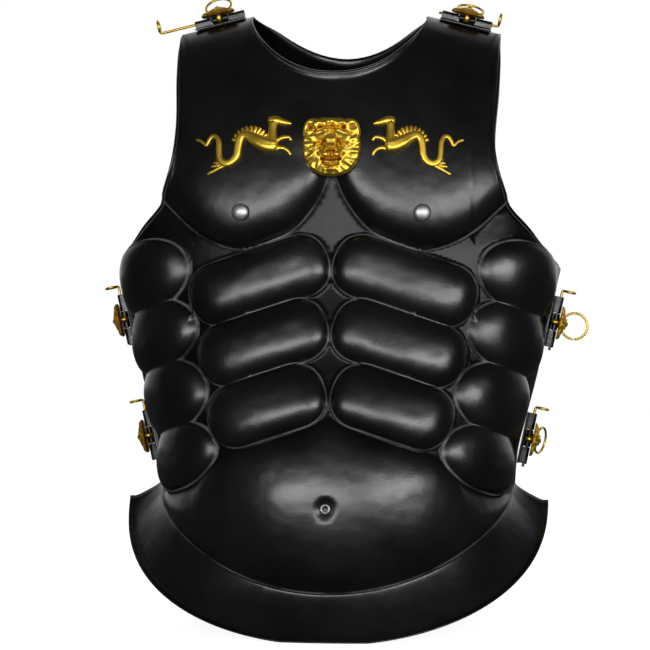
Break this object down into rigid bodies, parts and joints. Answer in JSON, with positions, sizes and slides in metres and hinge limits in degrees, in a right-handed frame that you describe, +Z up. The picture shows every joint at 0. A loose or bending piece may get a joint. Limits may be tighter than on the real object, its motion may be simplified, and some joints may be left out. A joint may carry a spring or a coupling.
{
  "type": "muscle cuirass with a front plate and a back plate",
  "caption": "Wearable muscle cuirass: black steel front and back plates joined by pinned hinges, with brass lion masks, pull rings and sea horses.",
  "frame": {"origin": "on the floor, at the middle of the whole object's footprint, where it stands on its skirt", "axes": "+Z up, -Y out of the chest, +X toward the wearer's left side"},
  "size_m": [0.4556, 0.303, 0.5914],
  "materials": {
    "black_steel": "satin black painted steel",
    "brass": "cast and polished, darker in the recesses",
    "bright_steel": "brushed"
  },
  "bodies": {
    "root": {"front_plate": "black_steel", "back_plate": "black_steel", "chest_lion": "brass", "navel_ring": "brass", "sea_horse_right": "brass", "stud_right": "bright_steel", "sea_horse_left": "brass", "stud_left": "bright_steel", "front_leaf_right_shoulder": "black_steel", "back_leaf_right_shoulder": "black_steel", "lion_right_shoulder": "brass", "front_leaf_left_shoulder": "black_steel", "back_leaf_left_shoulder": "black_steel", "lion_left_shoulder": "brass", "front_leaf_right_upper": "black_steel", "back_leaf_right_upper": "black_steel", "lion_right_upper": "brass", "front_leaf_left_upper": "black_steel", "back_leaf_left_upper": "black_steel", "lion_left_upper": "brass", "front_leaf_right_lower": "black_steel", "back_leaf_right_lower": "black_steel", "lion_right_lower": "brass", "front_leaf_left_lower": "black_steel", "back_leaf_left_lower": "black_steel", "lion_left_lower": "brass"},
    "pin_right_shoulder": {"pin_right_shoulder": "brass"},
    "ring_right_shoulder": {"ring_right_shoulder": "brass"},
    "pin_left_shoulder": {"pin_left_shoulder": "brass"},
    "ring_left_shoulder": {"ring_left_shoulder": "brass"},
    "pin_right_upper": {"pin_right_upper": "brass"},
    "ring_right_upper": {"ring_right_upper": "brass"},
    "pin_left_upper": {"pin_left_upper": "brass"},
    "ring_left_upper": {"ring_left_upper": "brass"},
    "pin_right_lower": {"pin_right_lower": "brass"},
    "ring_right_lower": {"ring_right_lower": "brass"},
    "pin_left_lower": {"pin_left_lower": "brass"},
    "ring_left_lower": {"ring_left_lower": "brass"}
  },
  "joints": [
    {"name": "pin_slide_right_shoulder", "type": "slide", "parent": "root", "child": "pin_right_shoulder", "axis": [-0.9713, 0, -0.238], "range_m": [-0.028, 0.023]},
    {"name": "ring_turn_right_shoulder", "type": "hinge", "parent": "root", "child": "ring_right_shoulder", "pos_m": [-0.12157, 0.021, 0.57503], "axis": [-0.9713, 0, -0.238], "range_deg": [-125, 82]},
    {"name": "pin_slide_left_shoulder", "type": "slide", "parent": "root", "child": "pin_left_shoulder", "axis": [0.9713, 0, -0.238], "range_m": [0, 0.051]},
    {"name": "ring_turn_left_shoulder", "type": "hinge", "parent": "root", "child": "ring_left_shoulder", "pos_m": [0.11461, 0.021, 0.57405], "axis": [-0.9713, 0, 0.238], "range_deg": [-141, 66]},
    {"name": "pin_slide_right_upper", "type": "slide", "parent": "root", "child": "pin_right_upper", "axis": [-0.2135, 0, 0.977], "range_m": [-0.002, 0.049]},
    {"name": "ring_turn_right_upper", "type": "hinge", "parent": "root", "child": "ring_right_upper", "pos_m": [-0.21455, 0.021, 0.28322], "axis": [0.2135, 0, -0.977], "range_deg": [-163, 44]},
    {"name": "pin_slide_left_upper", "type": "slide", "parent": "root", "child": "pin_left_upper", "axis": [0.2135, 0, 0.977], "range_m": [0, 0.051]},
    {"name": "ring_turn_left_upper", "type": "hinge", "parent": "root", "child": "ring_left_upper", "pos_m": [0.20359, 0.021, 0.28322], "axis": [0.2135, 0, 0.977], "range_deg": [-79, 128]},
    {"name": "pin_slide_right_lower", "type": "slide", "parent": "root", "child": "pin_right_lower", "axis": [-0.2066, 0, 0.9784], "range_m": [-0.004, 0.047]},
    {"name": "ring_turn_right_lower", "type": "hinge", "parent": "root", "child": "ring_right_lower", "pos_m": [-0.19038, 0.021, 0.17431], "axis": [0.2066, 0, -0.9784], "range_deg": [-163, 40]},
    {"name": "pin_slide_left_lower", "type": "slide", "parent": "root", "child": "pin_left_lower", "axis": [0.2066, 0, 0.9784], "range_m": [0, 0.051]},
    {"name": "ring_turn_left_lower", "type": "hinge", "parent": "root", "child": "ring_left_lower", "pos_m": [0.17942, 0.021, 0.17431], "axis": [0.2066, 0, 0.9784], "range_deg": [-143, 60]}
  ]
}
